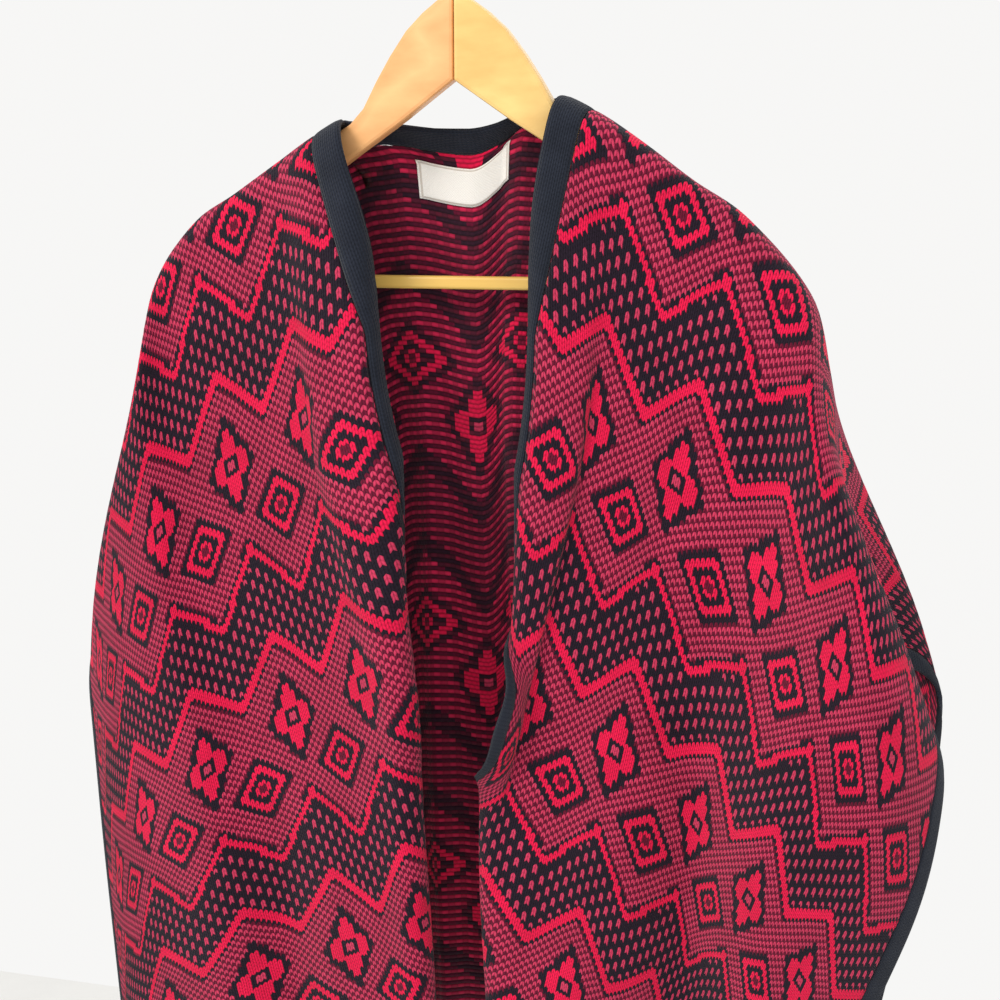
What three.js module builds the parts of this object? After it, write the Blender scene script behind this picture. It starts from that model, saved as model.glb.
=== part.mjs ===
// A knit ruana (an open-front poncho) hung on a contoured wooden clothes hanger.
// Millimetres. +Z is up, the open front faces -Y and +X is to the viewer's right.
// The origin is the inside top of the hanger's hook, where a rod or a nail carries it.
//
// The garment is one knit rectangle folded over the shoulders, with a V neck that runs
// into a centre-front slit, and a plain knit band on every edge. A point of the cloth is
// named by u, its distance from the centre line, and v, its distance from the shoulder
// fold: v is positive down the front and negative down the back.
import * as THREE from "three";

// ---------- sizes of the flat cloth ----------
const HALF_WIDTH = 490; // centre line to side edge, band included
const LENGTH = 700; // shoulder fold to hem, front and back alike, band included
const BAND = 20; // width of every edge band
const THICKNESS = 3; // double-bed knit
const SEAM = 0.3; // clearance where two pieces meet
const NECK_HALF = 54; // centre line to the panel's edge, at the shoulder fold
const NECK_SLOPE = 0.22; // how fast that edge comes in, down the V of the neck
const FRONT_EDGE = BAND; // centre line to the panel's edge, along the slit below the V
const PANEL_SIDE = HALF_WIDTH - BAND;
const PANEL_HEM = LENGTH - BAND;

// ---------- how the cloth hangs ----------
// Each wale (a lengthwise line of stitches) starts on the shoulder fold at x, y, z, turns
// from level to hanging within `turn` mm of cloth, and then hangs at `dip` degrees below
// the level (90 is plumb), and at `dipLow` further down. `lean` and `leanLow` are the
// angles by which it slants in towards the centre line, and `flare` the angle by which it
// first swings out, where the cloth beyond the hanger's tips drops off the shoulder.
// `stretch` is the pull of the cloth's own weight. Wales between two rows are blended.
const rows = (names, values) =>
  values.map((row) => Object.fromEntries(names.map((name, i) => [name, row[i]])));

const FRONT_COLUMNS = [
  "u", "x", "y", "z", "turn", "dip", "dipLow", "flare", "lean", "leanLow", "stretch",
];
const FRONT_RIGHT = rows(FRONT_COLUMNS, [
  [0, 37, 14, -95, 38, 90, 90, 0, 0, 12, 1.17],
  [54, 90, 16, -120, 32, 90, 90, 0, 1, 12, 1.14],
  [80, 118, 17, -138, 23, 90, 90, 0, 8, 13, 1.11],
  [120, 153, 21, -164, 20, 90, 90, 0, 10, 12, 1.08],
  [160, 188, 26, -188, 25, 90, 90, 0, 13, 11, 1.06],
  [212, 230, 34, -238, 40, 90, 93, 0, 13, 13, 1.04],
  [250, 242, 42, -284, 80, 90, 98, 4, 10, 15, 1.02],
  [320, 252, 50, -350, 150, 90, 104, 22, 8, 18, 1],
  [400, 261, 62, -424, 190, 90, 106, 38, 6, 19, 1],
  [490, 265, 86, -505, 200, 90, 104, 54, 4, 18, 1],
]);
const FRONT_LEFT = rows(FRONT_COLUMNS, [
  [0, 49, 14, -106, 56, 90, 90, 0, 5, 21, 1.12],
  [54, 103, 16, -135, 44, 90, 90, 0, 2, 16, 1.09],
  [80, 128, 17, -150, 26, 90, 90, 0, 6, 13, 1.06],
  [120, 164, 21, -172, 20, 90, 91, 0, 8, 13, 1.05],
  [160, 197, 26, -192, 25, 90, 92, 0, 9, 13, 1.04],
  [212, 229, 34, -232, 40, 90, 94, 0, 7, 11, 1.02],
  [250, 238, 46, -274, 80, 90, 95, 4, 5, 9, 1],
  [320, 246, 76, -336, 120, 90, 95, 18, 3, 3, 0.98],
  [400, 252, 104, -408, 145, 90, 94, 34, 3, 1, 0.98],
  [490, 259, 132, -490, 165, 90, 93, 46, 3, 2, 0.98],
]);

// The back falls from the same fold. `pull` draws its top in from the stretched neck.
const BACK = rows(
  ["u", "start", "turn", "dip", "dipLow", "flare", "lean", "leanLow", "pull"],
  [
    [0, 45, 30, 84, 84, 0, 0, 0, 0],
    [34, 30, 30, 84, 84, 0, 4, 0, 30],
    [54, 0, 30, 84, 84, 0, 8, 1, 22],
    [80, 0, 30, 84, 84, 0, 12, 2, 14],
    [120, 0, 30, 84, 84, 0, 14, 3, 5],
    [160, 0, 35, 84, 85, 0, 13, 4, 0],
    [212, 0, 50, 85, 86, 0, 12, 6, 0],
    [250, 0, 80, 86, 88, 4, 10, 7, 0],
    [320, 0, 130, 88, 92, 20, 6, 9, 0],
    [400, 0, 160, 90, 94, 36, 4, 11, 0],
    [490, 0, 180, 90, 96, 50, 3, 11, 0],
  ],
);
const BACK_STRETCH = 1.03;
const NECK_TOP = 34; // u where the neck band crosses the shoulder fold
const NECK_BACK_Z = -129; // the back neck sags between the two shoulders
const NECK_BACK_Y = 25;
const BEHIND = 2.5; // how fast the neck edge passes behind the hanger
const PULL_WITHIN = 30; // mm of cloth over which `pull` comes in

const STEP = 4; // length of cloth between two worked-out points of a wale
const LOW_DIP = { from: 150, over: 200 }; // where dip becomes dipLow
const LEAN_IN = 28; // the lean comes in over this much cloth
const LOW_LEAN = { from: 130, over: 140 }; // where lean becomes leanLow
const FLARE = { inOver: 40, outFrom: 60, outOver: 90 }; // where the flare comes and goes
const WEIGHT_FADE = 0.0002; // the stretch eases by this much for each mm down the cloth

// Each front's free edge rolls inwards about an upright line that wanders off down the
// cloth. The rolled part then runs outwards inside the garment, `away` degrees off the
// plane of the front. Its rows level out within about `level` mm.
const ROLL = { u: 28, from: 240, slope: 0.237, radius: 12, away: 12, level: 45 };

// Soft upright folds: at x and below z = top they push the cloth out by `depth`
// (in, where it is negative), with their full depth reached at z = full.
const FOLD_COLUMNS = ["face", "x", "width", "depth", "top", "full"];
const FOLDS = rows(FOLD_COLUMNS, [
  ["front", 118, 30, 9, -420, -620],
  ["front", 166, 26, -11, -400, -640],
  ["front", 216, 28, 9, -460, -680],
  ["front", -100, 34, 5, -520, -760],
  ["front", -147, 24, -8, -560, -740],
  ["front", -196, 34, 7, -480, -700],
  ["back", 20, 34, 14, -330, -700],
  ["back", 78, 30, -13, -300, -660],
  ["back", 138, 34, 15, -380, -720],
  ["back", 196, 30, -10, -420, -760],
  ["back", -42, 30, -12, -360, -640],
  ["back", -104, 36, 15, -300, -700],
  ["back", -170, 30, -12, -400, -690],
  ["back", -222, 28, 9, -450, -780],
]);

const radians = THREE.MathUtils.degToRad;
const smooth = (t) => THREE.MathUtils.smoothstep(t, 0, 1);

// The value of a table's column at u, on one smooth curve through its rows.
function lookUp(table, column, u) {
  const last = table.length - 1;
  let i = 0;
  while (i < last - 1 && table[i + 1].u < u) i += 1;
  const slope = (j) => {
    const before = table[Math.max(j - 1, 0)];
    const after = table[Math.min(j + 1, last)];
    return (after[column] - before[column]) / (after.u - before.u);
  };
  const width = table[i + 1].u - table[i].u;
  const t = (u - table[i].u) / width;
  return (
    (1 + 2 * t) * (1 - t) ** 2 * table[i][column] +
    t * (1 - t) ** 2 * width * slope(i) +
    t * t * (3 - 2 * t) * table[i + 1][column] +
    t * t * (t - 1) * width * slope(i + 1)
  );
}

// Where the wale at u crosses the shoulder fold, on the right (x positive). The back's
// wales below the neck start at the neck's edge instead.
function foldPoint(fronts, front, u) {
  const at = (place) =>
    new THREE.Vector3(...["x", "y", "z"].map((column) => lookUp(fronts, column, place)));
  if (front || u >= NECK_TOP) return at(u);
  const edge = at(NECK_TOP);
  const inward = smooth(1 - u / NECK_TOP);
  return new THREE.Vector3(
    (edge.x * u) / NECK_TOP,
    THREE.MathUtils.lerp(edge.y, NECK_BACK_Y, smooth(BEHIND * (1 - u / NECK_TOP))),
    THREE.MathUtils.lerp(edge.z, NECK_BACK_Z, inward),
  );
}

// The way the wale runs, v mm from the shoulder fold, in degrees below the level and in
// towards the centre line.
function wayOf(at, v) {
  const low = (at.dipLow - at.dip) * smooth((v - LOW_DIP.from) / LOW_DIP.over);
  const start = at.start ?? 0;
  const dip = start + (at.dip - start) * smooth(v / at.turn) + low;
  const lower = smooth((v - LOW_LEAN.from) / LOW_LEAN.over);
  const lean = (at.lean + (at.leanLow - at.lean) * lower) * smooth(v / LEAN_IN);
  const flare = smooth(v / FLARE.inOver) * (1 - smooth((v - FLARE.outFrom) / FLARE.outOver));
  return { dip: radians(dip), lean: radians(lean - at.flare * flare) };
}

const wales = new Map();

// The points of one wale, STEP mm of cloth apart, from the shoulder fold to the hem.
function wale(side, front, u) {
  const key = `${side} ${front} ${u.toFixed(3)}`;
  if (wales.has(key)) return wales.get(key);
  const fronts = side > 0 ? FRONT_RIGHT : FRONT_LEFT;
  const hang = front ? fronts : BACK;
  const at = Object.fromEntries(
    Object.keys(hang[0]).map((column) => [column, lookUp(hang, column, u)]),
  );
  const point = foldPoint(fronts, front, u);
  const points = [point.clone()];
  const away = front ? -1 : 1;
  for (let v = STEP / 2; v < LENGTH + STEP; v += STEP) {
    const { dip, lean } = wayOf(at, v);
    const length = STEP * (front ? at.stretch - WEIGHT_FADE * v : BACK_STRETCH);
    point.x -= Math.sin(lean) * length;
    point.y += away * Math.cos(lean) * Math.cos(dip) * length;
    point.z -= Math.cos(lean) * Math.sin(dip) * length;
    const placed = point.clone();
    if (!front) placed.x -= at.pull * smooth(v / PULL_WITHIN);
    points.push(placed);
  }
  wales.set(key, points);
  return points;
}

// A point of the cloth before the front edges roll and the folds form.
function hangingPoint(side, front, u, v) {
  const points = wale(side, front, Math.abs(u));
  const steps = Math.min(Math.abs(v) / STEP, points.length - 1.001);
  const whole = Math.floor(steps);
  const point = points[whole].clone().lerp(points[whole + 1], steps - whole);
  point.x *= side;
  return point;
}

function addFolds(point, front, at = point) {
  const face = front ? "front" : "back";
  for (const fold of FOLDS.filter((row) => row.face === face)) {
    const across = (at.x - fold.x) / fold.width;
    const down = smooth((fold.top - at.z) / (fold.top - fold.full));
    point.y += (front ? -1 : 1) * fold.depth * Math.exp(-across * across) * down;
  }
  return point;
}

// The u of the upright line about which a front rolls in.
const rollLine = (v) => ROLL.u + ROLL.slope * Math.max(v - ROLL.from, 0);

// Where the point (u, v) of the cloth is. side is 1 on the right, -1 on the left.
function clothPoint(side, front, u, v) {
  const rolled = front ? rollLine(v) - Math.abs(u) : -1;
  if (rolled <= 0) return addFolds(hangingPoint(side, front, u, v), front);
  const edge = hangingPoint(side, front, rollLine(v), v);
  const beside = hangingPoint(side, front, rollLine(v) + STEP, v);
  const along = beside.sub(edge).divideScalar(STEP);
  const level = Math.hypot(along.x, along.y);
  const outward = new THREE.Vector3(along.x, along.y, 0).divideScalar(level);
  const inside = new THREE.Vector3(-outward.y * side, outward.x * side, 0);
  const bend = Math.PI + Math.atan2(outward.y, side * outward.x) - radians(ROLL.away);
  const run = rolled * level;
  const angle = Math.min(run / ROLL.radius, bend);
  const straight = Math.max(run - ROLL.radius * bend, 0);
  const inwards = ROLL.radius * Math.sin(angle) + straight * Math.cos(bend);
  const back = ROLL.radius * (1 - Math.cos(angle)) + straight * Math.sin(bend);
  const point = edge.clone().addScaledVector(outward, -inwards).addScaledVector(inside, back);
  point.z -= along.z * ROLL.level * (1 - Math.exp(-rolled / ROLL.level));
  return addFolds(point, front, edge);
}

// The same point, moved out of the cloth's face by `out` mm.
function clothSkin(u, v, out) {
  const side = u < 0 ? -1 : 1;
  const front = v > 0;
  const reach = 1;
  const inFace = (value) => (front ? Math.max(value, 0) : Math.min(value, 0));
  const acrossLow = Math.abs(u) < reach && !front ? -1 : side;
  const acrossHigh = Math.abs(u) < reach && !front ? 1 : side;
  const across = clothPoint(acrossHigh, front, u + reach, v).sub(
    clothPoint(acrossLow, front, u - reach, v),
  );
  const along = clothPoint(side, front, u, inFace(v + reach)).sub(
    clothPoint(side, front, u, inFace(v - reach)),
  );
  const normal = along.cross(across).normalize();
  return clothPoint(side, front, u, v).addScaledVector(normal, out);
}

// ---------- solids from a grid ----------
// The outer and inner skins are grids of points of one size, closed along their edges.
// v grows from line to line and u along each line, or both of them fall.
function shell(outer, inner) {
  const lines = outer.length;
  const across = outer[0].length;
  const last = across - 1;
  const positions = [...outer.flat(), ...inner.flat()].flatMap((p) => [p.x, p.y, p.z]);
  const index = [];
  const at = (skin, i, j) => skin * lines * across + i * across + j;
  const quad = (a, b, c, d) => index.push(a, b, c, a, c, d);
  for (let i = 0; i < lines - 1; i += 1) {
    for (let j = 0; j < last; j += 1) {
      quad(at(0, i, j), at(0, i + 1, j), at(0, i + 1, j + 1), at(0, i, j + 1));
      quad(at(1, i, j), at(1, i, j + 1), at(1, i + 1, j + 1), at(1, i + 1, j));
    }
    const near = [at(0, i, 0), at(1, i, 0), at(1, i + 1, 0), at(0, i + 1, 0)];
    const far = [at(0, i, last), at(0, i + 1, last), at(1, i + 1, last), at(1, i, last)];
    // Each cell is split from its upper outer corner, alike on both sides of a seam.
    for (const [j, corners] of [[0, near], [last, far]]) {
      if (outer[i][j].z < outer[i + 1][j].z) corners.push(corners.shift());
      quad(...corners);
    }
  }
  for (let j = 0; j < last; j += 1) {
    quad(at(0, 0, j), at(0, 0, j + 1), at(1, 0, j + 1), at(1, 0, j));
    const i = lines - 1;
    quad(at(0, i, j), at(1, i, j), at(1, i, j + 1), at(0, i, j + 1));
  }
  const geometry = new THREE.BufferGeometry();
  geometry.setAttribute("position", new THREE.Float32BufferAttribute(positions, 3));
  geometry.setIndex(index);
  geometry.computeVertexNormals();
  return geometry;
}

// A cloth solid from a grid of [u, v] places. `lift` moves it off the cloth's own middle.
function clothSolid(grid, thickness = THICKNESS, lift = 0) {
  const skin = (out) => grid.map((line) => line.map(([u, v]) => clothSkin(u, v, out)));
  return shell(skin(lift + thickness / 2), skin(lift - thickness / 2));
}

// ---------- the grids ----------
// The places, in mm of cloth from the shoulder fold, of the lines across the panels.
const DOWN = [6, 12, 20, 34, 60, 95, 140, 190, 235, 270, 310, 355, 405, 465, 530, 605];
const PANEL_DOWN = [SEAM / 2, ...DOWN, PANEL_HEM - SEAM];
const HEM_DOWN = [PANEL_HEM + 2 * SEAM, LENGTH - SEAM / 2];
// The lines down the cloth are close together up to SMOOTH_FROM, where a front may roll.
const SMOOTH_FROM = 190;
const INNER_CELLS = 16;
const OUTER_LINES = [212, 232, 252, 278, 308, 340, 374, 408, 440, PANEL_SIDE - SEAM / 2];
const NECK_LINES = [9, 18, 27, 36, 45, NECK_HALF - SEAM]; // down the back, below the neck
const NECK_BLEND = 95; // where the back's lines are level again below the neck

const neckEdge = (v) => Math.max(NECK_HALF - NECK_SLOPE * v, FRONT_EDGE);

const spread = (from, to, cells) =>
  Array.from({ length: cells + 1 }, (_, i) => THREE.MathUtils.lerp(from, to, i / cells));

// A grid across a front at the given lines, on the right (side 1) or the left (-1).
const frontGrid = (side, lines) =>
  lines.map((v) => {
    const edge = neckEdge(v) + SEAM / 2;
    const line = [...spread(edge, SMOOTH_FROM, INNER_CELLS), ...OUTER_LINES];
    const places = line.map((u) => [side * u, v]);
    return side > 0 ? places : places.reverse();
  });

// Where the back's line for v lies below the neck band.
const belowNeck = (v) =>
  THREE.MathUtils.mapLinear(v, PANEL_DOWN[0], NECK_BLEND, BAND + 5.2, NECK_BLEND);

// A grid across the back at the given lines. Its top edge drops below the neck band.
function backGrid(lines) {
  const shoulder = spread(NECK_HALF + SEAM, SMOOTH_FROM, INNER_CELLS / 2);
  const half = [...NECK_LINES, ...shoulder, ...OUTER_LINES];
  const columns = [...half.map((u) => -u).reverse(), 0, ...half];
  const drops = (u, v) => Math.abs(u) < NECK_HALF && v < NECK_BLEND;
  const grid = lines.map((v) => columns.map((u) => [u, drops(u, v) ? -belowNeck(v) : -v]));
  return grid.reverse();
}

// A band's grid from its stations, each a place on its outer and on its inner edge.
const bandGrid = (stations) =>
  stations.map(([outer, inner]) => {
    const middle = [(outer[0] + inner[0]) / 2, (outer[1] + inner[1]) / 2];
    return [outer, middle, inner];
  });

// One strip: up the right front's edge, round the back neck, down the left front's edge.
function neckBandGrid() {
  const half = [LENGTH - SEAM / 2, PANEL_HEM, ...DOWN.slice().reverse()].map((v) => [
    [neckEdge(v) - SEAM / 2, v],
    [neckEdge(v) - BAND + SEAM / 2, v],
  ]);
  const outer = NECK_HALF - 2 * SEAM;
  const inner = NECK_HALF - BAND;
  half.push([[outer, 0.6], [inner, 1.5]]);
  for (const u of [outer, ...NECK_LINES.slice(0, -1).reverse()]) {
    half.push([[u, -BAND + SEAM / 2], [(u * (inner - 1)) / outer, -SEAM]]);
  }
  const mirrored = half.map((station) => station.map(([u, v]) => [-u, v])).reverse();
  return bandGrid([...half, ...mirrored]);
}

// One strip from the front hem over the end of the shoulder fold to the back hem.
function sideBandGrid(side) {
  const down = [8, ...DOWN.filter((v) => v > 12), PANEL_HEM, LENGTH - SEAM / 2];
  const lines = [...down.map((v) => -v).reverse(), ...down];
  const near = side * (PANEL_SIDE + SEAM / 2);
  const far = side * HALF_WIDTH;
  return bandGrid(lines.map((v) => [[Math.min(near, far), v], [Math.max(near, far), v]]));
}

// ---------- label ----------
const LABEL = { halfU: 26.8, top: BAND + 5.8, bottom: BAND + 31, thickness: 1 };

// Its lines follow the back panel's own, so that it lies flat on it.
function labelGrid() {
  const half = NECK_LINES.filter((u) => u < LABEL.halfU);
  const columns = [...half, LABEL.halfU];
  const across = [...columns.map((u) => -u).reverse(), 0, ...columns];
  const between = PANEL_DOWN.map(belowNeck).filter((v) => v > LABEL.top && v < LABEL.bottom);
  const down = [LABEL.top, ...between, LABEL.bottom];
  return down.map((v) => across.map((u) => [u, -v])).reverse();
}

// ---------- hanger ----------
const SWEEP = 0.14; // the arms run back by this much for each mm outwards
const ARM_DEPTH = 13; // front to back
const ARM_BEVEL = 2.5;
const ARM_JOINT = 0.2; // each arm's end face, from the centre line
const WOOD_TOP = -45;
const ARM_TOP = [
  [ARM_JOINT, WOOD_TOP], [10, -47.5], [22, -56], [34, -67], [46, -83], [56, -98.5],
  [66, -116], [76, -126], [88, -133], [124, -157], [164, -183], [194, -204], [209, -217],
];
const ARM_TIP = [[216, -224], [216, -233], [211, -240], [200, -242]];
const BAR_SEAT = 190; // each arm's flat face that takes the end of the bar
const ARM_UNDERSIDE = [
  [BAR_SEAT, -241], [BAR_SEAT, -224], [150, -199], [72, -147], [36, -124], [ARM_JOINT, -99],
];

// An outline in X-Z, made solid front to back with eased edges, and swept back.
function armGeometry(side) {
  const outline = new THREE.Shape();
  const points = [...ARM_TOP, ...ARM_TIP, ...ARM_UNDERSIDE];
  outline.setFromPoints(points.map(([x, z]) => new THREE.Vector2(x, z)));
  const depth = ARM_DEPTH - 2 * ARM_BEVEL;
  const geometry = new THREE.ExtrudeGeometry(outline, {
    depth,
    bevelThickness: ARM_BEVEL,
    bevelSize: ARM_BEVEL,
    bevelOffset: -ARM_BEVEL,
    bevelSegments: 2,
  });
  geometry.translate(0, 0, -depth / 2);
  geometry.rotateX(Math.PI / 2);
  const position = geometry.getAttribute("position");
  for (let i = 0; i < position.count; i += 1) {
    position.setY(i, position.getY(i) + SWEEP * position.getX(i));
  }
  if (side < 0) mirror(geometry);
  geometry.computeVertexNormals();
  return geometry;
}

// Puts a geometry of separate triangles on the other side of the plane x = 0.
function mirror(geometry) {
  const position = geometry.getAttribute("position");
  for (let i = 0; i < position.count; i += 3) {
    const corners = [0, 2, 1].map((k) =>
      new THREE.Vector3().fromBufferAttribute(position, i + k),
    );
    corners.forEach((corner, k) => position.setXYZ(i + k, -corner.x, corner.y, corner.z));
  }
}

const BAR = { z: -231.5, height: 9, depth: 7, corner: 2.5 };

// A wooden bar with rounded edges from one arm's flat face to the other's.
function barGeometry() {
  const [w, h, r] = [BAR.depth / 2, BAR.height / 2, BAR.corner];
  const section = new THREE.Shape();
  section.moveTo(-w + r, -h);
  section.lineTo(w - r, -h);
  section.absarc(w - r, -h + r, r, -Math.PI / 2, 0);
  section.absarc(w - r, h - r, r, 0, Math.PI / 2);
  section.absarc(-w + r, h - r, r, Math.PI / 2, Math.PI);
  section.absarc(-w + r, -h + r, r, Math.PI, 1.5 * Math.PI);
  const half = BAR_SEAT - SEAM;
  const geometry = new THREE.ExtrudeGeometry(section, {
    depth: 2 * half,
    bevelEnabled: false,
    curveSegments: 3,
  });
  geometry.translate(0, 0, -half);
  geometry.rotateY(Math.PI / 2);
  geometry.rotateX(Math.PI / 2);
  geometry.translate(0, SWEEP * BAR_SEAT, BAR.z);
  return geometry;
}

// The hook's bend is centred below the origin, which its inside top touches.
const HOOK = { wire: 1.8, radius: 17, from: -55, to: 205, steps: 13, sides: 10 };

function hookGeometry() {
  const centre = HOOK.wire - HOOK.radius;
  const points = [[0, WOOD_TOP + SEAM], [0, -40], [1.4, -35.5]];
  for (let i = 0; i <= HOOK.steps; i += 1) {
    const angle = radians(THREE.MathUtils.lerp(HOOK.from, HOOK.to, i / HOOK.steps));
    points.push([HOOK.radius * Math.cos(angle), centre + HOOK.radius * Math.sin(angle)]);
  }
  const path = new THREE.CatmullRomCurve3(
    points.map(([x, z]) => new THREE.Vector3(x, 0, z)),
    false,
    "centripetal",
  );
  const section = new THREE.Shape();
  section.setFromPoints(
    Array.from({ length: HOOK.sides }, (_, i) => {
      const angle = (2 * Math.PI * i) / HOOK.sides;
      return new THREE.Vector2(HOOK.wire * Math.cos(angle), HOOK.wire * Math.sin(angle));
    }),
  );
  return new THREE.ExtrudeGeometry(section, {
    steps: 3 * points.length,
    extrudePath: path,
  });
}

// ---------- the object ----------
const KNIT = { color: 0x8c1d33, roughness: 0.95, metalness: 0 };
const BAND_KNIT = { color: 0x23262c, roughness: 0.95, metalness: 0 };
const WOVEN = { color: 0xf2efe8, roughness: 0.8, metalness: 0 };
const LEFT_WOOD = { color: 0xe6a868, roughness: 0.45, metalness: 0 };
const RIGHT_WOOD = { color: 0xe8c070, roughness: 0.45, metalness: 0 };
const METAL = { color: 0x9a9a98, roughness: 0.3, metalness: 1 };

const poncho = new THREE.Group();

function add(name, geometry, material) {
  const mesh = new THREE.Mesh(geometry, new THREE.MeshStandardMaterial(material));
  mesh.name = name;
  poncho.add(mesh);
}

for (const [side, name] of [[-1, "left"], [1, "right"]]) {
  add(`panel_front_${name}`, clothSolid(frontGrid(side, PANEL_DOWN)), KNIT);
  add(`hem_band_front_${name}`, clothSolid(frontGrid(side, HEM_DOWN)), BAND_KNIT);
  add(`side_band_${name}`, clothSolid(sideBandGrid(side)), BAND_KNIT);
}
add("panel_back", clothSolid(backGrid(PANEL_DOWN)), KNIT);
add("hem_band_back", clothSolid(backGrid(HEM_DOWN)), BAND_KNIT);
add("neck_band", clothSolid(neckBandGrid()), BAND_KNIT);

const labelLift = -(THICKNESS + LABEL.thickness) / 2 - SEAM;
add("label", clothSolid(labelGrid(), LABEL.thickness, labelLift), WOVEN);

add("hanger_arm_left", armGeometry(-1), LEFT_WOOD);
add("hanger_arm_right", armGeometry(1), RIGHT_WOOD);
add("hanger_bar", barGeometry(), RIGHT_WOOD);
add("hanger_hook", hookGeometry(), METAL);

export default poncho;
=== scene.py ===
import math

import bpy
import numpy as np
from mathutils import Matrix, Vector


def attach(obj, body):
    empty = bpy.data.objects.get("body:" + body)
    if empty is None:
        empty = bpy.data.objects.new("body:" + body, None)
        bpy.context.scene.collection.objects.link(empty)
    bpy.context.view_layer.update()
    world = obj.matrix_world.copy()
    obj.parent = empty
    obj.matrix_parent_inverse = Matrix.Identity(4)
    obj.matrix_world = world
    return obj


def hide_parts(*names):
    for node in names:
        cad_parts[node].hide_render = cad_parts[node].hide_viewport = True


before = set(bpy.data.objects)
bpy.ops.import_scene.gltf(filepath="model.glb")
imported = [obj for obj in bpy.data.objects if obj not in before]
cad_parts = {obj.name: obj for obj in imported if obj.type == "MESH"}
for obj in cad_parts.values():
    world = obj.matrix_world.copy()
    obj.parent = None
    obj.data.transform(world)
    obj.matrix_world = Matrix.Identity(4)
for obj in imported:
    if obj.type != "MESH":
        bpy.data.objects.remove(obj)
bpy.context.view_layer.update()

# ---------- sizes of the flat cloth ----------
HALF_WIDTH, LENGTH, BAND, THICKNESS, SEAM = 490, 700, 20, 3, 0.3
NECK_HALF, NECK_SLOPE = 54, 0.22
PANEL_SIDE, PANEL_HEM = HALF_WIDTH - BAND, LENGTH - BAND

# ---------- how the cloth hangs ----------
# Each wale starts on the shoulder fold at x, y, z, turns from level to hanging within
# `turn` mm, and hangs `dip` degrees below the level, `dipLow` further down. `lean` and
# `leanLow` slant it in towards the centre line; `flare` is how far it first swings out.
FRONT_COLUMNS = [
    "u", "x", "y", "z", "turn", "dip", "dipLow", "flare", "lean", "leanLow", "stretch",
]
FRONT_RIGHT = [
    [0, 37, 14, -95, 38, 90, 90, 0, 0, 12, 1.17],
    [54, 90, 16, -120, 32, 90, 90, 0, 1, 12, 1.14],
    [80, 118, 17, -138, 23, 90, 90, 0, 8, 13, 1.11],
    [120, 153, 21, -164, 20, 90, 90, 0, 10, 12, 1.08],
    [160, 188, 26, -188, 25, 90, 90, 0, 13, 11, 1.06],
    [212, 230, 34, -238, 40, 90, 93, 0, 13, 13, 1.04],
    [250, 242, 42, -284, 80, 90, 98, 4, 10, 15, 1.02],
    [320, 252, 50, -350, 150, 90, 104, 22, 8, 18, 1],
    [400, 261, 62, -424, 190, 90, 106, 38, 6, 19, 1],
    [490, 265, 86, -505, 200, 90, 104, 54, 4, 18, 1],
]
FRONT_LEFT = [
    [0, 49, 14, -106, 56, 90, 90, 0, 5, 21, 1.12],
    [54, 103, 16, -135, 44, 90, 90, 0, 2, 16, 1.09],
    [80, 128, 17, -150, 26, 90, 90, 0, 6, 13, 1.06],
    [120, 164, 21, -172, 20, 90, 91, 0, 8, 13, 1.05],
    [160, 197, 26, -192, 25, 90, 92, 0, 9, 13, 1.04],
    [212, 229, 34, -232, 40, 90, 94, 0, 7, 11, 1.02],
    [250, 238, 46, -274, 80, 90, 95, 4, 5, 9, 1],
    [320, 246, 76, -336, 120, 90, 95, 18, 3, 3, 0.98],
    [400, 252, 104, -408, 145, 90, 94, 34, 3, 1, 0.98],
    [490, 259, 132, -490, 165, 90, 93, 46, 3, 2, 0.98],
]
BACK_COLUMNS = ["u", "start", "turn", "dip", "dipLow", "flare", "lean", "leanLow", "pull"]
BACK = [
    [0, 45, 30, 84, 84, 0, 0, 0, 0],
    [34, 30, 30, 84, 84, 0, 4, 0, 30],
    [54, 0, 30, 84, 84, 0, 8, 1, 22],
    [80, 0, 30, 84, 84, 0, 12, 2, 14],
    [120, 0, 30, 84, 84, 0, 14, 3, 5],
    [160, 0, 35, 84, 85, 0, 13, 4, 0],
    [212, 0, 50, 85, 86, 0, 12, 6, 0],
    [250, 0, 80, 86, 88, 4, 10, 7, 0],
    [320, 0, 130, 88, 92, 20, 6, 9, 0],
    [400, 0, 160, 90, 94, 36, 4, 11, 0],
    [490, 0, 180, 90, 96, 50, 3, 11, 0],
]
BACK_STRETCH = 1.03
NECK_TOP = 34  # u where the neck band crosses the shoulder fold
NECK_BACK_Y, NECK_BACK_Z = 25, -129  # the back neck's middle
BEHIND = 2.5  # how fast the neck edge passes behind the hanger
PULL_WITHIN = 30  # mm of cloth over which `pull` comes in
STEP = 4  # mm of cloth between two worked-out points of a wale
WALE_GAP = 2  # mm of cloth between two worked-out wales
LOW_DIP = (150, 200)  # where dip becomes dipLow: from, over
LOW_LEAN = (130, 140)  # where lean becomes leanLow: from, over
LEAN_IN = 28  # the lean comes in over this much cloth
FLARE_IN, FLARE_OUT = 40, (60, 90)  # where the flare comes and goes
WEIGHT_FADE = 0.0002  # the stretch eases by this much for each mm down the cloth
# Each front's free edge rolls in about a line that wanders off down the cloth.
ROLL = {"u": 28, "from": 240, "slope": 0.237, "radius": 12, "away": 12, "level": 45}
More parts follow.
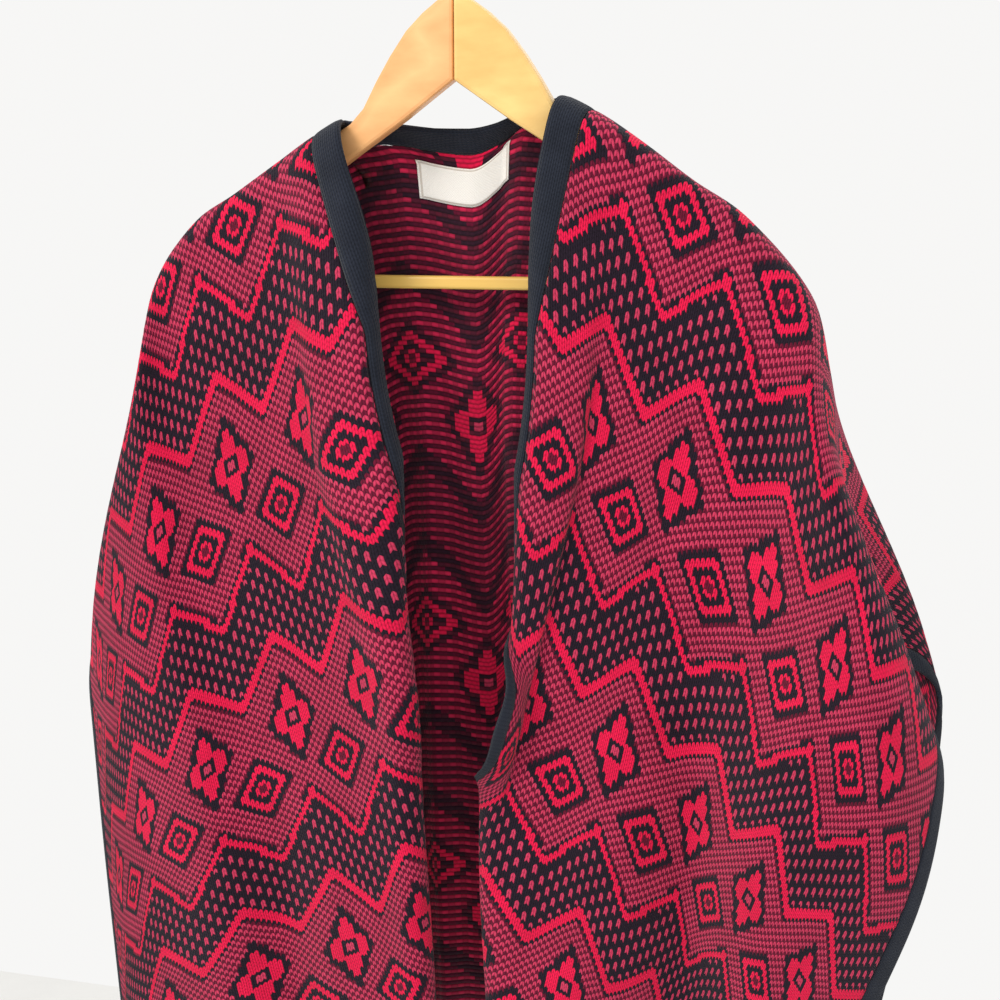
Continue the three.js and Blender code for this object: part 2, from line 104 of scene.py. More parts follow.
# Soft upright folds: face (1 front, -1 back), x, width, depth, top, full
FOLDS = [
    [1, 118, 30, 9, -420, -620],
    [1, 166, 26, -11, -400, -640],
    [1, 216, 28, 9, -460, -680],
    [1, -100, 34, 5, -520, -760],
    [1, -147, 24, -8, -560, -740],
    [1, -196, 34, 7, -480, -700],
    [-1, 20, 34, 14, -330, -700],
    [-1, 78, 30, -13, -300, -660],
    [-1, 138, 34, 15, -380, -720],
    [-1, 196, 30, -10, -420, -760],
    [-1, -42, 30, -12, -360, -640],
    [-1, -104, 36, 15, -300, -700],
    [-1, -170, 30, -12, -400, -690],
    [-1, -222, 28, 9, -450, -780],
]


def smooth(t):
    t = np.clip(t, 0, 1)
    return t * t * (3 - 2 * t)


def look_up(table, column, u):
    """The table's column at each u, on one smooth curve through its rows."""
    us = [row[0] for row in table]
    values = [row[column] for row in table]
    last = len(us) - 1
    slopes = []
    for j in range(last + 1):
        before, after = max(j - 1, 0), min(j + 1, last)
        slopes.append((values[after] - values[before]) / (us[after] - us[before]))
    us, values, slopes = np.array(us, float), np.array(values, float), np.array(slopes)
    i = np.clip(np.searchsorted(us, u, side="right") - 1, 0, last - 1)
    width = us[i + 1] - us[i]
    t = (u - us[i]) / width
    return (
        (1 + 2 * t) * (1 - t) ** 2 * values[i]
        + t * (1 - t) ** 2 * width * slopes[i]
        + t * t * (3 - 2 * t) * values[i + 1]
        + t * t * (t - 1) * width * slopes[i + 1]
    )


def wales(side, front):
    """Points of every wale of one face and side, WALE_GAP apart, from the fold to the hem."""
    fronts = FRONT_RIGHT if side > 0 else FRONT_LEFT
    u = np.arange(0, HALF_WIDTH + 2 * WALE_GAP + 1, WALE_GAP, dtype=float)
    names, table = (FRONT_COLUMNS, fronts) if front else (BACK_COLUMNS, BACK)
    at = {name: look_up(table, k, u) for k, name in enumerate(names)}
    x, y, z = (look_up(fronts, k, u) for k in (1, 2, 3))
    if not front:
        edge = [look_up(fronts, k, np.array([float(NECK_TOP)]))[0] for k in (1, 2, 3)]
        share = np.clip(u / NECK_TOP, 0, 1)
        behind, sag = smooth(BEHIND * (1 - share)), smooth(1 - share)
        neck = u < NECK_TOP
        x = np.where(neck, edge[0] * share, x)
        y = np.where(neck, edge[1] + (NECK_BACK_Y - edge[1]) * behind, y)
        z = np.where(neck, edge[2] + (NECK_BACK_Z - edge[2]) * sag, z)
    away = -1 if front else 1
    points = [np.stack([x, y, z], -1)]
    for v in np.arange(STEP / 2, LENGTH + 2 * STEP, STEP):
        start = 0 if front else at["start"]
        low = (at["dipLow"] - at["dip"]) * smooth((v - LOW_DIP[0]) / LOW_DIP[1])
        dip = np.radians(start + (at["dip"] - start) * smooth(v / at["turn"]) + low)
        lower = smooth((v - LOW_LEAN[0]) / LOW_LEAN[1])
        lean = at["lean"] + (at["leanLow"] - at["lean"]) * lower
        flare = smooth(v / FLARE_IN) * (1 - smooth((v - FLARE_OUT[0]) / FLARE_OUT[1]))
        lean = np.radians(lean * smooth(v / LEAN_IN) - at["flare"] * flare)
        length = STEP * (at["stretch"] - WEIGHT_FADE * v if front else BACK_STRETCH)
        x = x - np.sin(lean) * length
        y = y + away * np.cos(lean) * np.cos(dip) * length
        z = z - np.cos(lean) * np.sin(dip) * length
        pull = 0 if front else at["pull"] * smooth(v / PULL_WITHIN)
        points.append(np.stack([x - pull, y, z], -1))
    return np.stack(points, 1)


WALES = {(side, front): wales(side, front) for side in (1, -1) for front in (True, False)}


def hanging(side, front, u, v):
    grid = WALES[side, front]
    a = np.clip(np.abs(u) / WALE_GAP, 0, grid.shape[0] - 1.001)
    b = np.clip(np.abs(v) / STEP, 0, grid.shape[1] - 1.001)
    i, j = a.astype(int), b.astype(int)
    s, t = (a - i)[..., None], (b - j)[..., None]
    near = grid[i, j] * (1 - s) + grid[i + 1, j] * s
    far = grid[i, j + 1] * (1 - s) + grid[i + 1, j + 1] * s
    return (near * (1 - t) + far * t) * [side, 1, 1]


def add_folds(point, front, at):
    y = point[..., 1].copy()
    for face, x, width, depth, top, full in FOLDS:
        if (face > 0) == front:
            across = (at[..., 0] - x) / width
            down = smooth((top - at[..., 2]) / (top - full))
            y += (-1 if front else 1) * depth * np.exp(-across * across) * down
    return np.stack([point[..., 0], y, point[..., 2]], -1)


def one_face(side, front, u, v):
    flat = hanging(side, front, u, v)
    if not front:
        return add_folds(flat, front, flat)
    line = ROLL["u"] + ROLL["slope"] * np.maximum(v - ROLL["from"], 0)
    rolled = np.maximum(line - np.abs(u), 0)
    edge = hanging(side, front, line, v)
    along = (hanging(side, front, line + STEP, v) - edge) / STEP
    level = np.hypot(along[..., 0], along[..., 1])
    out_x, out_y = along[..., 0] / level, along[..., 1] / level
    radius = ROLL["radius"]
    bend = math.pi + np.arctan2(out_y, side * out_x) - math.radians(ROLL["away"])
    run = rolled * level
    angle = np.minimum(run / radius, bend)
    straight = np.maximum(run - radius * bend, 0)
    inwards = radius * np.sin(angle) + straight * np.cos(bend)
    back = radius * (1 - np.cos(angle)) + straight * np.sin(bend)
    drop = along[..., 2] * ROLL["level"] * (1 - np.exp(-rolled / ROLL["level"]))
    turned = np.stack(
        [
            edge[..., 0] - out_x * inwards - out_y * side * back,
            edge[..., 1] - out_y * inwards + out_x * side * back,
            edge[..., 2] - drop,
        ],
        -1,
    )
    where = (rolled > 0)[..., None]
    return add_folds(np.where(where, turned, flat), front, np.where(where, edge, flat))


def cloth(u, v):
    """Where the points (u, v) of the cloth are."""
    right, front = (u >= 0)[..., None], (v > 0)[..., None]
    fronts = np.where(right, one_face(1, True, u, v), one_face(-1, True, u, v))
    backs = np.where(right, one_face(1, False, u, v), one_face(-1, False, u, v))
    return np.where(front, fronts, backs)


def skin(u, v, out):
    """The same points, moved out of the cloth's face by `out` mm."""
    across = cloth(u + 1, v) - cloth(u - 1, v)
    along = cloth(u, v + 1) - cloth(u, v - 1)
    normal = np.cross(along, across)
    normal /= np.maximum(np.linalg.norm(normal, axis=-1, keepdims=True), 1e-9)
    return cloth(u, v) + normal * np.asarray(out)[..., None]


# ---------- meshes ----------
def make_mesh(name, points, faces, uvs, slots, materials):
    mesh = bpy.data.meshes.new(name)
    mesh.from_pydata((np.asarray(points) / 1000).tolist(), [], faces)
    for material in materials:
        mesh.materials.append(material)
    mesh.polygons.foreach_set("material_index", slots)
    layer = mesh.uv_layers.new(name="stitches")
    corners = np.zeros(len(mesh.loops), dtype=int)
    mesh.loops.foreach_get("vertex_index", corners)
    layer.data.foreach_set("uv", np.asarray(uvs)[corners].astype(np.float32).ravel())
    mesh.polygons.foreach_set("use_smooth", [True] * len(mesh.polygons))
    mesh.update()
    piece = bpy.data.objects.new(name, mesh)
    bpy.context.scene.collection.objects.link(piece)
    return piece


HALF_THICK = THICKNESS / 2


def cloth_piece(name, u, v, keep, uv, materials, outer=HALF_THICK, inner=-HALF_THICK):
    """A closed piece of cloth over the cells of the grid that `keep` marks."""
    rows, columns = u.shape
    count = rows * columns
    outer, inner = np.broadcast_to(outer, u.shape), np.broadcast_to(inner, u.shape)
    points = np.concatenate([skin(u, v, out).reshape(-1, 3) for out in (outer, inner)])
    coordinates = np.concatenate([uv.reshape(-1, 2)] * 2)
    index = np.arange(count).reshape(rows, columns)
    faces, slots, edges = [], [], {}
    for i, j in zip(*np.nonzero(keep)):
        around = ((i, j), (i + 1, j), (i + 1, j + 1), (i, j + 1))
        a, b, c, d = (int(index[corner]) for corner in around)
        faces.append((a, b, c, d))
        faces.append((a + count, d + count, c + count, b + count))
        slots += [0, 1]
        for p, q in ((a, b), (b, c), (c, d), (d, a)):
            if edges.pop((q, p), None) is None:
                edges[p, q] = True
    for p, q in edges:
        faces.append((q, p, p + count, q + count))
        slots.append(0)
    used = sorted({n for face in faces for n in face})
    place = {n: k for k, n in enumerate(used)}
    faces = [tuple(place[n] for n in face) for face in faces]
    return make_mesh(name, points[used], faces, coordinates[used], slots, materials)


def neck_edge(v):
    return np.maximum(NECK_HALF - NECK_SLOPE * np.maximum(v, 0), BAND)


STITCH, ROW = 80 / 24, 3.2  # mm of cloth

# ---------- materials ----------
class Graph:
    """A short way to write a material's arithmetic."""

    def __init__(self, name):
        self.material = bpy.data.materials.new(name)
        self.material.use_nodes = True
        self.nodes, self.links = self.material.node_tree.nodes, self.material.node_tree.links
        self.shader = self.nodes["Principled BSDF"]

    def feed(self, socket, value):
        if isinstance(value, (int, float)):
            socket.default_value = value
        elif isinstance(value, tuple):
            socket.default_value = (*value, 1)[: len(socket.default_value)]
        else:
            self.links.new(value, socket)

    def math(self, operation, *values):
        node = self.nodes.new("ShaderNodeMath")
        node.operation = operation
        for socket, value in zip(node.inputs, values):
            self.feed(socket, value)
        return node.outputs[0]

    def add(self, a, b):
        return self.math("ADD", a, b)

    def sub(self, a, b):
        return self.math("SUBTRACT", a, b)

    def mul(self, a, b):
        return self.math("MULTIPLY", a, b)

    def under(self, a, b):
        return self.math("LESS_THAN", a, b)

    def over(self, a, b):
        return self.math("GREATER_THAN", a, b)

    def size(self, a):
        return self.math("ABSOLUTE", a)

    def floor(self, a):
        return self.math("FLOOR", a)

    def middle(self, a):
        return self.add(self.floor(a), 0.5)

    def fraction(self, a):
        return self.math("FLOORED_MODULO", a, 1)

    def modulo(self, a, b):
        return self.math("FLOORED_MODULO", a, b)

    def hump(self, a):
        """1 where a is 0, falling to 0 where a is 1 or -1."""
        return self.sub(1, self.mul(a, a))

    def mix(self, factor, a, b):
        node = self.nodes.new("ShaderNodeMix")
        node.data_type = "RGBA"
        self.feed(node.inputs["Factor"], factor)
        self.feed(node.inputs[6], a)
        self.feed(node.inputs[7], b)
        return node.outputs[2]

    def scale(self, colour, value):
        node = self.nodes.new("ShaderNodeVectorMath")
        node.operation = "SCALE"
        self.feed(node.inputs[0], colour)
        self.feed(node.inputs["Scale"], value)
        return node.outputs[0]

    def stitches(self):
        uv = self.nodes.new("ShaderNodeUVMap")
        uv.uv_map = "stitches"
        parts = self.nodes.new("ShaderNodeSeparateXYZ")
        self.links.new(uv.outputs[0], parts.inputs[0])
        return parts.outputs[0], parts.outputs[1]

    def noise(self, scale, detail=2, stretch=(1, 1, 1)):
        place = self.nodes.new("ShaderNodeTexCoord")
        mapping = self.nodes.new("ShaderNodeMapping")
        mapping.inputs["Scale"].default_value = stretch
        self.links.new(place.outputs["Object"], mapping.inputs[0])
        node = self.nodes.new("ShaderNodeTexNoise")
        self.links.new(mapping.outputs[0], node.inputs["Vector"])
        node.inputs["Scale"].default_value = scale
        node.inputs["Detail"].default_value = detail
        return node.outputs[0]

    def bump(self, height, distance, strength=1.0):
        node = self.nodes.new("ShaderNodeBump")
        node.inputs["Strength"].default_value = strength
        node.inputs["Distance"].default_value = distance
        self.links.new(height, node.inputs["Height"])
        self.links.new(node.outputs[0], self.shader.inputs["Normal"])

    def set(self, **values):
        for name, value in values.items():
            self.feed(self.shader.inputs[name.replace("_", " ")], value)


def linear(r, g, b):
    """A colour given as it looks on a screen, 0 to 255."""
    def one(c):
        c /= 255
        return c / 12.92 if c <= 0.04045 else ((c + 0.055) / 1.055) ** 2.4
    return (one(r), one(g), one(b))


RED = linear(232, 26, 74)
ROSE = linear(202, 58, 92)
MAROON = linear(102, 20, 46)
CHARCOAL = linear(36, 26, 38)
SLATE = linear(36, 40, 50)


def charted(graph, s, t, streaks=None):
    """The knitting chart: one colour for the stitch s, t. Both are whole numbers plus a half.
    The reverse gives its streaks in place of the ground, and its zigzags come out dark."""
    a = graph.size(graph.sub(graph.modulo(graph.add(s, 12), 24), 12))
    c = graph.sub(12, a)
    r = graph.modulo(t, 60)
    first = graph.sub(r, graph.add(15, graph.mul(a, 1.125)))
    second = graph.sub(r, graph.add(36, a))
    # the ground: close checks outside the two zigzags, long dashes between them
    check = graph.under(graph.modulo(graph.add(graph.floor(s), graph.floor(t)), 2), 0.5)
    ground = graph.mix(check, MAROON, ROSE)
    pair = graph.modulo(graph.floor(graph.mul(s, 0.5)), 2)
    dash = graph.under(graph.modulo(graph.add(t, graph.mul(pair, 2)), 4), 2.4)
    dash = graph.mul(dash, graph.under(graph.modulo(s, 2), 1))
    between = graph.mul(graph.over(first, 0), graph.under(second, 0))
    colour = graph.mix(between, ground, graph.mix(dash, CHARCOAL, ROSE))
    if streaks is not None:
        colour = graph.mix(graph.mul(between, 0.35), streaks, CHARCOAL)
    # the diamond on the half repeat
    up = graph.size(graph.sub(graph.modulo(graph.add(r, 21), 60), 30))
    d = graph.add(c, up)
    for limit, paint in ((8.6, CHARCOAL), (6.9, RED), (4.7, CHARCOAL), (2.9, RED), (1.1, MAROON)):
        colour = graph.mix(graph.under(d, limit), colour, paint)
    # the flower on the whole repeat
    up = graph.size(graph.sub(graph.modulo(graph.sub(r, 26), 60), 30))
    wide, tall = graph.mul(a, 1.2), graph.mul(up, 0.78)
    d = graph.add(wide, tall)
    colour = graph.mix(graph.under(d, 8.9), colour, CHARCOAL)
    notch = graph.under(graph.size(graph.sub(wide, tall)), 0.85)
    notch = graph.mul(notch, graph.over(d, 5.1))
    petal = graph.mul(graph.under(d, 6.6), graph.sub(1, notch))
    colour = graph.mix(petal, colour, RED)
    heart = graph.math("MAXIMUM", a, graph.mul(up, 0.7))
    colour = graph.mix(graph.under(heart, 1.6), colour, CHARCOAL)
    colour = graph.mix(graph.under(heart, 0.9), colour, ROSE)
    # the two zigzags
    for line in (first, second):
        width = graph.size(line)
        colour = graph.mix(graph.under(width, 2.35), colour, CHARCOAL)
        if streaks is None:
            colour = graph.mix(graph.under(width, 1.15), colour, RED)
    return colour


def knit_face():
    graph = Graph("knit_face")
    s, t = graph.stitches()
    s = graph.add(s, graph.mul(graph.noise(70, 2), 0.5))
    t = graph.add(t, graph.mul(graph.noise(55, 2), 0.7))
    side = graph.size(graph.sub(graph.fraction(s), 0.5))
    slanted = graph.sub(t, graph.mul(side, 1.1))
    colour = charted(graph, graph.middle(s), graph.middle(slanted))
    leg = graph.hump(graph.sub(graph.mul(side, 4), 1))
    row = graph.hump(graph.sub(graph.mul(graph.fraction(slanted), 2), 1))
    height = graph.add(graph.mul(leg, 0.6), graph.mul(row, 0.4))
    mottle = graph.add(0.72, graph.mul(graph.noise(38, 4), 0.55))
    # shade darkens the colour in the grooves between stitch legs and rows, where height is low.
    # This is painted shade. mottle is the yarn's own uneven tone.
    shade = graph.mul(graph.add(0.42, graph.mul(height, 0.72)), mottle)
    fibre = graph.noise(1500, 3)
    graph.set(Base_Color=graph.scale(colour, shade), Roughness=0.92, Sheen_Weight=0.08)
    graph.set(Sheen_Roughness=0.45, Specular_IOR_Level=0.12)
    graph.bump(graph.add(height, graph.mul(fibre, 0.5)), 0.0011, 0.75)
    return graph.material


def knit_reverse():
    """The inside: the same chart, broken up by the yarns that float behind it."""
    graph = Graph("knit_reverse")
    s, t = graph.stitches()
    shift = graph.modulo(graph.floor(t), 2)
    dot = graph.modulo(graph.add(graph.floor(s), shift), 2)
    streaks = graph.mix(shift, linear(206, 40, 80), linear(96, 20, 46))
    streaks = graph.mix(graph.mul(dot, 0.35), streaks, CHARCOAL)
    colour = charted(graph, graph.middle(s), graph.middle(t), streaks)
    colour = graph.mix(0.15, colour, streaks)
    row = graph.hump(graph.sub(graph.mul(graph.fraction(t), 2), 1))
    moved = graph.add(s, graph.mul(shift, 0.5))
    bead = graph.hump(graph.sub(graph.mul(graph.fraction(moved), 2), 1))
    height = graph.add(graph.mul(row, 0.75), graph.mul(bead, 0.25))
    mottle = graph.add(0.7, graph.mul(graph.noise(45, 4), 0.6))
    # shade darkens the colour in the grooves between rows and beads, where height is low. This is
    # painted shade. mottle is the yarn's own uneven tone.
    shade = graph.mul(graph.add(0.35, graph.mul(height, 0.75)), mottle)
    graph.set(Base_Color=graph.scale(colour, shade), Roughness=0.95, Sheen_Weight=0.12)
    graph.set(Sheen_Roughness=0.5, Specular_IOR_Level=0.1)
    graph.bump(graph.add(height, graph.mul(graph.noise(1500, 3), 0.4)), 0.001, 0.7)
    return graph.material


def band_knit():
    """Plain rib: s counts the wales along the strip and t the rows across it."""
    graph = Graph("band_knit")
    s, t = graph.stitches()
    side = graph.size(graph.sub(graph.fraction(s), 0.5))
    leg = graph.hump(graph.sub(graph.mul(side, 4), 1))
    row = graph.hump(graph.sub(graph.mul(graph.fraction(graph.sub(t, side)), 2), 1))
    height = graph.add(graph.mul(leg, 0.65), graph.mul(row, 0.35))
    mottle = graph.add(0.65, graph.mul(graph.noise(60, 4), 0.7))
    # shade darkens the colour in the grooves between rib legs and rows, where height is low. This
    # is painted shade. mottle is the yarn's own uneven tone.
    shade = graph.mul(graph.add(0.5, graph.mul(height, 0.8)), mottle)
    graph.set(Base_Color=graph.scale(SLATE, shade), Roughness=0.93, Sheen_Weight=0.1)
    graph.set(Sheen_Roughness=0.45, Specular_IOR_Level=0.12)
    graph.bump(graph.add(height, graph.mul(graph.noise(1500, 3), 0.5)), 0.001, 0.8)
    return graph.material


LABEL_S, LABEL_T = 13, 5  # half the label's size, in the units of its weave
LABEL_THREADS = 9


def label_weave():
    """A blank woven label with a plain stitched border."""
    graph = Graph("label_weave")
    s, t = graph.stitches()
    threads = (graph.math("SINE", graph.mul(place, LABEL_THREADS)) for place in (s, t))
    weave = graph.mul(*threads)
    edges = (graph.sub(half, graph.size(place)) for half, place in ((LABEL_S, s), (LABEL_T, t)))
    inset = graph.math("MINIMUM", *edges)
    border = graph.mul(graph.over(inset, 0.35), graph.under(inset, 0.75))
    colour = graph.mix(border, linear(243, 240, 234), linear(206, 198, 188))
    graph.set(Base_Color=colour, Roughness=0.7, Sheen_Weight=0.1, Specular_IOR_Level=0.3)
    graph.bump(weave, 0.0002, 0.5)
    return graph.material


def wood(name, pale, deep, grain):
    """Clear-varnished timber whose rings and pores run along `grain`."""
    graph = Graph(name)
    rings = graph.noise(9, 3, grain)
    rings = graph.fraction(graph.mul(rings, 9))
    rings = graph.math("SINE", graph.mul(rings, math.pi))
    pores = graph.noise(140, 5, grain)
    blotch = graph.noise(6, 3)
    factor = graph.add(graph.mul(rings, 0.3), graph.mul(pores, 0.45))
    colour = graph.mix(graph.math("MINIMUM", factor, 1), pale, deep)
    colour = graph.scale(colour, graph.add(0.86, graph.mul(blotch, 0.28)))
    graph.set(Base_Color=colour, Roughness=graph.add(0.3, graph.mul(pores, 0.25)))
    graph.set(Coat_Weight=0.25, Coat_Roughness=0.2, Specular_IOR_Level=0.4)
    graph.bump(pores, 0.0003, 0.35)
    return graph.material


def wire():
    graph = Graph("hook_wire")
    scratch = graph.noise(420, 4, (1, 1, 0.2))
    shade = graph.add(0.75, graph.mul(scratch, 0.3))
    graph.set(Base_Color=graph.scale(linear(188, 188, 184), shade), Metallic=1.0)
    graph.set(Roughness=graph.add(0.2, graph.mul(scratch, 0.2)))
    graph.bump(scratch, 0.0001, 0.3)
    return graph.material


FACE, REVERSE, BLACK, WHITE = knit_face(), knit_reverse(), band_knit(), label_weave()

# ---------- the body ----------
COLUMN = 5.2  # mm of cloth between the mesh's columns
SMOOTH_FROM = 190  # the columns follow the front's free edge up to this u
LEVEL_FROM = 95  # the back's lines are level again this far down
FINE_TO, FINE, COARSE_LINES = 60, 3, 108  # the lines are closer at the shoulder fold


def body():
    across = np.linspace(0, 1, int((SMOOTH_FROM - NECK_HALF) / COLUMN) + 8)
    outside = np.arange(SMOOTH_FROM + COLUMN, PANEL_SIDE - 1, COLUMN)
    outside = np.append(outside, PANEL_SIDE - SEAM / 2)
    inside = np.linspace(0, NECK_HALF - SEAM, 11)
    low = np.linspace(FINE_TO, PANEL_HEM - SEAM / 2, COARSE_LINES)
    down = np.concatenate([np.arange(0, FINE_TO, FINE), low])
    lines = np.concatenate([-down[::-1], down[1:]])
    u, v = [], []
    for line in lines:
        edge = neck_edge(line) + SEAM
        half = np.concatenate([inside[1:], edge + (SMOOTH_FROM - edge) * across, outside])
        u.append(np.concatenate([-half[::-1], [0], half]))
        back = max(-line, 0)
        top = BAND + SEAM
        dropped = line
        if back < LEVEL_FROM:
            dropped = -(top + (LEVEL_FROM - top) * back / LEVEL_FROM)
        places = np.full(len(half), line)
        places[: len(inside) - 1] = dropped
        v.append(np.concatenate([places[::-1], [dropped], places]))
    u, v = np.array(u), np.array(v)
    keep = np.ones((len(lines) - 1, u.shape[1] - 1), bool)
    middle = u.shape[1] // 2
    reach = len(inside)
    keep[lines[:-1] >= 0, middle - reach : middle + reach] = False
    uv = np.stack([u / STITCH, v / ROW], -1)
    return cloth_piece("body", u, v, keep, uv, [FACE, REVERSE])


RIB = 3  # mm of cloth for each stitch of a band
PLUMP = 0.9  # how far a band's middle stands out past its edges


def strip(name, stations, width=7):
    """A band from its stations, each a place on its outer and on its inner edge."""
    stations = np.array(stations, float)
    t = np.linspace(0, 1, width)[None, :, None]
    places = stations[:, :1] * (1 - t) + stations[:, 1:] * t
    u, v = places[..., 0], places[..., 1]
    middle = cloth(u[:, width // 2], v[:, width // 2])
    run = np.concatenate([[0], np.cumsum(np.linalg.norm(np.diff(middle, axis=0), axis=1))])
    across = t[..., 0]
    uv = np.stack(np.broadcast_arrays(across * BAND / RIB, run[:, None] / RIB), -1)
    outer = np.broadcast_to(HALF_THICK - 0.3 + PLUMP * (1 - (2 * across - 1) ** 4), u.shape)
    keep = np.ones((u.shape[0] - 1, width - 1), bool)
    return cloth_piece(name, u, v, keep, uv, [BLACK, BLACK], outer, -outer)


def neck_band():
    low = np.linspace(FINE_TO, LENGTH - SEAM / 2, 120)
    down = np.concatenate([np.arange(FINE, FINE_TO, FINE), low])
    outer, inner = NECK_HALF - SEAM, NECK_HALF - BAND
    half = []
    for v in down[::-1]:
        edge = float(neck_edge(v))
        half.append([[edge - SEAM / 2, v], [edge - BAND + SEAM / 2, v]])
    for turn in np.linspace(0, 1, 8):
        half.append([[outer, 0.5 - turn * (BAND + 0.3)], [inner - turn, 1.2 - 1.5 * turn]])
    for u in np.linspace(outer, 2, 18)[1:]:
        half.append([[u, -BAND + SEAM / 2], [u * (inner - 1) / outer, -SEAM]])
    other = [[[-u, v] for u, v in station] for station in half[::-1]]
    return strip("neck_band_knit", half + other)


def side_band(side, name):
    low = np.linspace(FINE_TO, LENGTH - SEAM / 2, 110)
    down = np.concatenate([np.arange(0, FINE_TO, 4), low])
    lines = np.concatenate([-down[::-1], down[1:]])
    near, far = side * (PANEL_SIDE + SEAM / 2), side * HALF_WIDTH
    low, high = min(near, far), max(near, far)
    return strip(name, [[[low, v], [high, v]] for v in lines])


LABEL_HALF, LABEL_TOP, LABEL_BOTTOM = 27, BAND + 9, BAND + 34  # mm of cloth
LABEL_THICK, LABEL_LIFT = 0.8, 0.9


def label():
    across = np.linspace(-LABEL_HALF, LABEL_HALF, 25)
    down = np.linspace(-LABEL_TOP, -LABEL_BOTTOM, 9)
    u, v = np.meshgrid(across, down[::-1])
    keep = np.ones((len(down) - 1, len(across) - 1), bool)
    s = np.linspace(-LABEL_S, LABEL_S, len(across))
    t = np.linspace(-LABEL_T, LABEL_T, len(down))
    uv = np.stack(np.meshgrid(s, t), -1)
    lift = -(HALF_THICK + LABEL_LIFT)
    outer, inner = lift + LABEL_THICK / 2, lift - LABEL_THICK / 2
    return cloth_piece("neck_label", u, v, keep, uv, [WHITE, WHITE], outer, inner)


BOTTOM, TOP_OF_HEM = LENGTH - SEAM / 2, PANEL_HEM + SEAM / 2
body_piece = body()
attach(body_piece, "root")
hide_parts("panel_front_left", "panel_front_right", "panel_back")

bands = {}
bands["neck"] = (neck_band(), "neck_band")
for side, name in ((-1, "left"), (1, "right")):
    piece = side_band(side, f"side_band_{name}_knit")
    bands[f"side {name}"] = (piece, f"side_band_{name}")
    near, far = np.arange(BAND + SEAM, SMOOTH_FROM, 3.5), np.arange(SMOOTH_FROM, PANEL_SIDE, 5)
    places = np.concatenate([near, far, [PANEL_SIDE]])
    order = places if side < 0 else places[::-1]
    stations = [[[side * u, BOTTOM], [side * u, TOP_OF_HEM]] for u in order]
    piece = strip(f"hem_band_front_{name}_knit", stations)
    bands[f"hem {name}"] = (piece, f"hem_band_front_{name}")
places = np.linspace(-PANEL_SIDE, PANEL_SIDE, 190)
piece = strip("hem_band_back_knit", [[[u, -BOTTOM], [u, -TOP_OF_HEM]] for u in places])
bands["hem back"] = (piece, "hem_band_back")
for piece, node in bands.values():
    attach(piece, "root")
    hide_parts(node)
label_piece = label()
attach(label_piece, "root")
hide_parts("label")

# ---------- the hanger ----------
ARM_GRAIN, BAR_GRAIN = (0.35, 1, 1), (0.08, 1, 1)
# The two arms are one timber in two tones. The left arm's colours are painted darker and more
# orange as painted shade, because that arm faces away from the key light. The right arm's paler
# colours are its lit tone, which is painted light.
PALE_LEFT_SHADED, DEEP_LEFT_SHADED = linear(252, 194, 132), linear(206, 136, 74)
PALE_RIGHT_LIT, DEEP_RIGHT_LIT = linear(252, 216, 138), linear(212, 156, 78)
PALE_BAR, DEEP_BAR = linear(250, 214, 118), linear(206, 150, 60)
LEFT_WOOD_PAINTED_SHADE = wood("wood_left_painted_shade", PALE_LEFT_SHADED, DEEP_LEFT_SHADED, ARM_GRAIN)
RIGHT_WOOD_PAINTED_LIGHT = wood("wood_right_painted_light", PALE_RIGHT_LIT, DEEP_RIGHT_LIT, ARM_GRAIN)
BAR_WOOD = wood("wood_bar_grain", PALE_BAR, DEEP_BAR, BAR_GRAIN)
HANGER = {
    "hanger_arm_left": ("wood_left", LEFT_WOOD_PAINTED_SHADE),
    "hanger_arm_right": ("wood_right", RIGHT_WOOD_PAINTED_LIGHT),
    "hanger_bar": ("wood_bar", BAR_WOOD),
    "hanger_hook": ("hook_metal", wire()),
}
for node, (slot, material) in HANGER.items():
    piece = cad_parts[node]
    piece.data.materials.clear()
    piece.data.materials.append(material)
    piece.data.polygons.foreach_set("use_smooth", [True] * len(piece.data.polygons))
    piece.data.set_sharp_from_angle(angle=math.radians(40))

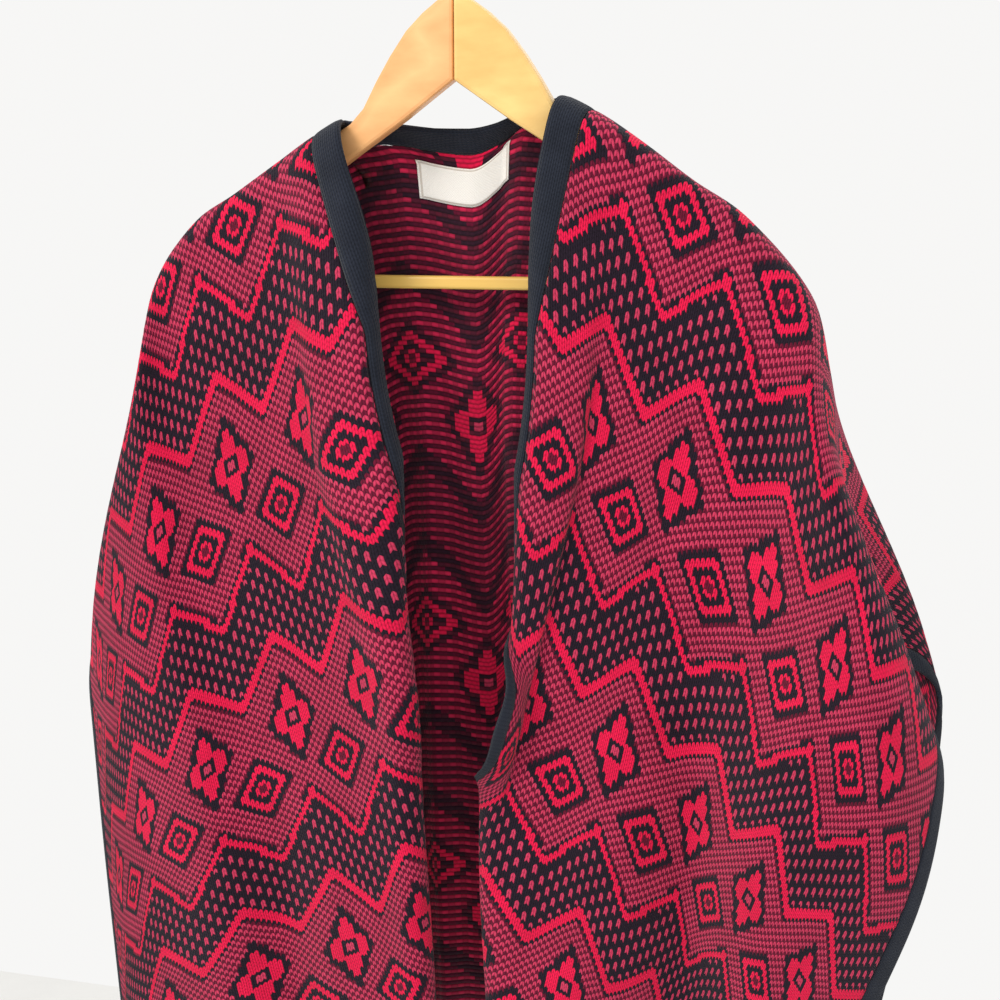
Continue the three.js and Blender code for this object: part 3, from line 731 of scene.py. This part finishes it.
# ---------- camera, light and floor ----------
scene = bpy.context.scene
camera = bpy.data.objects.new("camera", bpy.data.cameras.new("camera"))
scene.collection.objects.link(camera)
azimuth, pitch = math.radians(15), math.radians(10.7)
level = math.cos(pitch)
aim = Vector((-math.sin(azimuth) * level, math.cos(azimuth) * level, -math.sin(pitch)))
camera.location = (0.3127, -1.055, -0.170)
camera.rotation_mode = "QUATERNION"
camera.rotation_quaternion = aim.to_track_quat("-Z", "Y")
camera.data.lens, camera.data.sensor_width = 58.86, 36
camera.data.clip_start, camera.data.clip_end = 0.05, 60
scene.camera = camera


def light(name, place, target, size, watts, colour):
    lamp = bpy.data.lights.new(name, "AREA")
    lamp.shape, lamp.size, lamp.energy, lamp.color = "SQUARE", size, watts, colour
    item = bpy.data.objects.new(name, lamp)
    item.location = place
    item.rotation_mode = "QUATERNION"
    item.rotation_quaternion = (Vector(target) - Vector(place)).to_track_quat("-Z", "Y")
    scene.collection.objects.link(item)


light("key", (-1.6, -2.2, 1.5), (0, 0.05, -0.5), 1.2, 60, (1, 0.97, 0.93))
light("fill", (2.2, -1.6, 0.2), (0, 0.05, -0.6), 2.2, 8, (0.93, 0.96, 1))
light("rim", (0.8, 2.2, 1.4), (0, 0.1, -0.4), 1.6, 14, (1, 1, 1))

world = bpy.data.worlds.new("studio")
world.use_nodes = True
backdrop = world.node_tree.nodes["Background"]
backdrop.inputs["Color"].default_value = (0.98, 0.975, 0.965, 1)
backdrop.inputs["Strength"].default_value = 0.95
scene.world = world
scene.view_settings.view_transform = "Standard"

floor_mesh = bpy.data.meshes.new("floor")
FLOOR_HALF, FLOOR_Z = 10, -6.5
corners = [(-1, -1), (1, -1), (1, 1), (-1, 1)]
corners = [(x * FLOOR_HALF, y * FLOOR_HALF, FLOOR_Z) for x, y in corners]
floor_mesh.from_pydata(corners, [], [(0, 1, 2, 3)])
floor = bpy.data.objects.new("floor", floor_mesh)
scene.collection.objects.link(floor)
paint = Graph("floor_paint")
tone = paint.add(0.92, paint.mul(paint.noise(3, 3), 0.08))
paint.set(Base_Color=paint.scale(linear(250, 249, 246), tone), Roughness=0.9)
floor_mesh.materials.append(paint.material)
